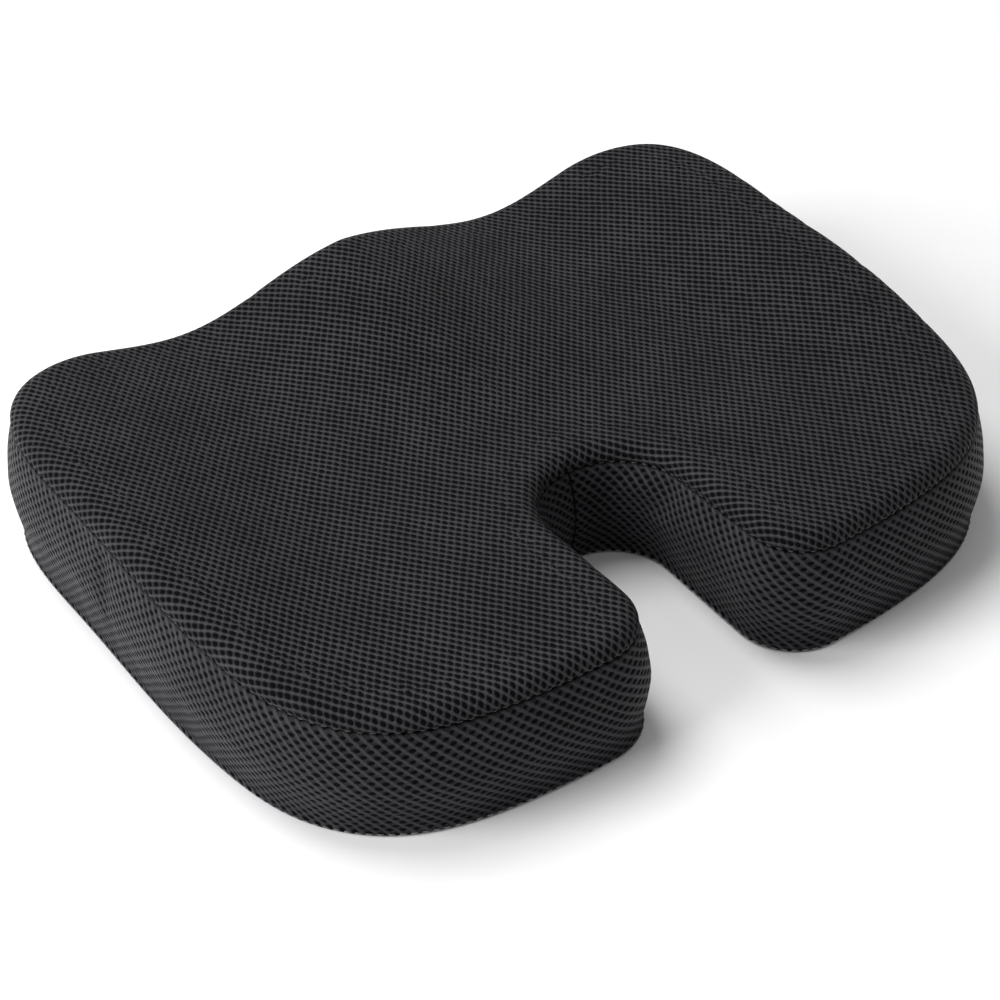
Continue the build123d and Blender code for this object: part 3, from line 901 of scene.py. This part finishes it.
def zip_tape(word, sign):
    """One woven tape, with the slightly raised edge that carries the teeth."""
    width, centre = TAPE_OUTER - TAPE_INNER, (TAPE_INNER + TAPE_OUTER) / 2
    profile = rounded_strip(width, TAPE_T, 10, TAPE_T / 2)
    profile = [(a, b + (0.12 if a < -4.2 and b > 0 else 0)) for a, b in profile]
    xs = np.linspace(-FLAT_HALF + 0.3, FLAT_HALF - 0.3, 90)
    closing = TAPE_CLOSING * blend(CLOSED_FROM, CLOSED_TO, np.abs(xs))
    path = [(x, BAND_IN + 0.33, ZIP_Z + sign * (centre - c)) for x, c in zip(xs, closing)]
    return sweep(f"zip_tape_{word}_woven", profile, path, [((0, 0, sign), (0, -1, 0))] * len(path))


def coil_row(word, first, last, sign):
    """One side of a nylon coil: rounded teeth with wider heads, on a stitched cord."""
    points, faces = [], []
    below = sign < 0
    for x in np.arange(first, last, TOOTH_PITCH):
        start = len(points)
        for z, half in TOOTH_RINGS:
            y = BAND_IN - TEETH_OUT - 0.12 * math.cos(z * 0.9)
            for k in range(SIDES):
                a = turn(k + 0.5, SIDES)
                points.append((x + half * math.cos(a), y + TOOTH_DEPTH * math.sin(a), ZIP_Z + sign * z))
        size = (start, SIDES, len(TOOTH_RINGS), below)
        faces += tube_faces(*size) + end_faces(*size)
    start = len(points)
    xs = np.arange(first - 1, last + 0.6, 0.8)
    for x in xs:
        swell = CORD_R + 0.08 * math.cos(turn(x, TOOTH_PITCH))
        for k in range(SIDES):
            a = turn(k, SIDES)
            z = ZIP_Z + sign * (CORD_Z + swell * math.sin(a))
            points.append((x, BAND_IN - CORD_OUT + swell * math.cos(a), z))
    faces += tube_faces(start, SIDES, len(xs), not below)
    return mesh_object(f"zip_coil_{word}", points, faces)


for word, sign in (("upper", 1), ("lower", -1)):
    place_piece(zip_tape(word, sign), "cushion", TAPE_WEAVE, "zip_tape", f"zip_tape_{word}")

teeth_low, teeth_high = (c[0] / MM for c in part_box("zip_teeth_upper"))
for word, sign, shift in (("upper", 1, 0.0), ("lower", -1, TOOTH_PITCH / 2)):
    row = coil_row(word, teeth_low + 1.5 + shift, teeth_high - 0.4, sign)
    place_piece(row, "cushion", NYLON, "zip_teeth", f"zip_teeth_{word}")

for node in ("zip_top_stops", "zip_bottom_stop", "zip_slider", "zip_pull_tab"):
    for material_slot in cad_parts[node].material_slots:
        material_slot.material = ENAMEL


# ================================================================ handle

STRAP_FREE, STRAP_END = 62.0, 82.0          # half lengths: of the free bow, and of the whole strap
STRAP_BOW, STRAP_SAG = 11.0, 0.3
STRAP_T = 1.9
BOX_IN, BOX_OUT, BOX_HALF_H = 64.5, 79.5, 8.2   # the sewn boxes, with a cross in each
BOX_PITCH = 3.3


def strap_path():
    """The strap's middle line and its axes: sewn flat at both ends, bowed out and sagging between."""
    path, turns = [], []
    for x in np.linspace(-STRAP_END, STRAP_END, 121):
        rise = slope = 0
        if abs(x) < STRAP_FREE:
            rise = 1 + math.cos(math.pi * x / STRAP_FREE)
            slope = STRAP_BOW * 0.5 * math.pi / STRAP_FREE * math.sin(math.pi * x / STRAP_FREE)
        out = Vector((slope, -1, 0)).normalized()
        path.append((x, FRONT_Y - 1.05 - STRAP_BOW * 0.5 * rise, STRAP_MID_Z - STRAP_SAG * rise))
        turns.append(((0, 0, 1), (-out.x, out.y, 0)))
    return path, turns


def box_stitches(sign):
    """Dash ends of the box and cross that hold one end of the strap."""
    x_in, x_out, y = sign * BOX_IN, sign * BOX_OUT, FRONT_Y - 2.08
    z_low, z_high = STRAP_MID_Z - BOX_HALF_H, STRAP_MID_Z + BOX_HALF_H
    box = [(x_in, z_low), (x_out, z_low), (x_out, z_high), (x_in, z_high), (x_in, z_low), (x_out, z_high)]
    runs = list(zip(box, box[1:])) + [((x_in, z_high), (x_out, z_low))]
    spots = []
    for (xa, za), (xb, zb) in runs:
        count = max(2, round(math.hypot(xb - xa, zb - za) / BOX_PITCH))
        for k in range(count):
            ends = [(k + share) / count for share in (0.12, 0.88)]
            start, end = ((xa + (xb - xa) * t, y, za + (zb - za) * t) for t in ends)
            spots.append((start, end, (0, -1, 0)))
    return spots


strap_profile = rounded_strip(STRAP_HIGH.z - STRAP_LOW.z, STRAP_T, 16, 0.8)
strap = sweep("carry_handle_webbing", strap_profile, *strap_path())
place_piece(strap, "cushion", STRAP_WEAVE, "webbing", "carry_handle")
tacks = dashes("handle_box_stitching", box_stitches(-1) + box_stitches(1), 0.36)
place_piece(tacks, "cushion", PALE_THREAD, "webbing")


# ================================================================ label and grip dots

LABEL_LOW, LABEL_HIGH = (Vector(c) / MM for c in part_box("care_label"))
LABEL_SIZE = LABEL_HIGH - LABEL_LOW
DOT_PITCH, DOT_R, DOT_MARGIN = 9.0, 1.7, 7.0


def label_piece():
    """Blank label, sewn in along its rear edge and curling up a little towards its free edge."""
    columns, rows = 13, 15
    points, grain, faces = [], [], []
    for j in range(rows):
        v = j / (rows - 1)
        for i in range(columns):
            u = i / (columns - 1)
            curl = 2.6 * v * v * (0.55 + 0.45 * u) + 0.25 * math.sin(5.5 * u + 2 * v) * v
            x, y = LABEL_LOW.x + LABEL_SIZE.x * u, LABEL_HIGH.y - LABEL_SIZE.y * v
            points.append((x, y, LABEL_LOW.z + 0.2 + curl))
            grain.append((u * LABEL_SIZE.x, v * LABEL_SIZE.y, 0))
    for j in range(rows - 1):
        for i in range(columns - 1):
            a = j * columns + i
            faces.append((a, a + columns, a + columns + 1, a + 1))
    return mesh_object("care_label_blank", points, faces, grain)


label = label_piece()
thickness = label.modifiers.new("thickness", "SOLIDIFY")
thickness.thickness, thickness.offset = 0.3 * MM, 0
place_piece(label, "cushion", LABEL, "label", "care_label")


def grip_dots():
    """Rubber dots printed on the underside; the cushion stands on them."""
    rings = ((1.0, 0.62), (0.9, 0.25), (0.55, 0.03))
    points, faces = [], []
    for x, y in inside_ring(LOOP - OUT * DOT_MARGIN, DOT_PITCH, 1.5):
        first = len(points)
        for size, z in rings:
            for k in range(SIDES):
                a = turn(k, SIDES)
                points.append((x + DOT_R * size * math.cos(a), y + DOT_R * size * math.sin(a), z))
        points.append((x, y, 0.0))
        faces += [(a, d, c, b) for a, b, c, d in tube_faces(first, SIDES, len(rings))]
        last, tip = first + SIDES * (len(rings) - 1), first + SIDES * len(rings)
        faces += [(last + k, tip, last + (k + 1) % SIDES) for k in range(SIDES)]
    return mesh_object("grip_dots", points, faces)


place_piece(grip_dots(), "cushion", GRIP, "base_fabric")


# ================================================================ studio

def soft_light(name, place, aim, size, power):
    """A round soft light that points at a spot near the cushion."""
    data = bpy.data.lights.new(name, "AREA")
    data.shape, data.size, data.energy = "DISK", size, power
    lamp = bpy.data.objects.new(name, data)
    bpy.context.scene.collection.objects.link(lamp)
    lamp.location = place
    lamp.rotation_euler = (Vector(aim) - Vector(place)).to_track_quat("-Z", "Y").to_euler()


ground = bmesh.new()
bmesh.ops.create_grid(ground, x_segments=4, y_segments=4, size=6.0)
floor_mesh = bpy.data.meshes.new("studio_floor")
ground.to_mesh(floor_mesh)
ground.free()
floor = bpy.data.objects.new("studio_floor", floor_mesh)
bpy.context.scene.collection.objects.link(floor)
floor_mesh.materials.append(studio_floor("pale_studio_floor"))

soft_light("key", (1.8, -0.3, 1.15), (0, 0, 0.03), 1.3, 44)
soft_light("top", (0.2, -0.9, 1.9), (0, 0, 0.05), 1.3, 30)

bpy.context.scene.view_settings.view_transform = "Standard"
world = bpy.data.worlds.new("studio")
bpy.context.scene.world = world
world.use_nodes = True
background = world.node_tree.nodes["Background"]
background.inputs["Color"].default_value = (1, 1, 1, 1)
background.inputs["Strength"].default_value = 0.38


def aim_camera():
    """Looks down on the cushion from behind its right-hand rear corner."""
    azimuth, elevation, roll = (math.radians(a) for a in (145.8, 40.1, -1.1))
    target, distance = Vector((0.0187, 0.0136, 0.0241)), 1.1277
    level = math.cos(elevation)
    back = Vector((math.sin(azimuth) * level, -math.cos(azimuth) * level, math.sin(elevation)))
    right = (-back).cross(Vector((0, 0, 1))).normalized()
    up = right.cross(-back)
    cos, sin = math.cos(roll), math.sin(roll)
    right, up = right * cos + up * sin, up * cos - right * sin
    data = bpy.data.cameras.new("camera")
    data.lens, data.sensor_width = 80.4, 36.0
    camera = bpy.data.objects.new("camera", data)
    bpy.context.scene.collection.objects.link(camera)
    facing = Matrix([[right[i], up[i], back[i]] for i in range(3)]).to_4x4()
    camera.matrix_world = Matrix.Translation(target + back * distance) @ facing
    bpy.context.scene.camera = camera


aim_camera()

bpy.context.view_layer.update()
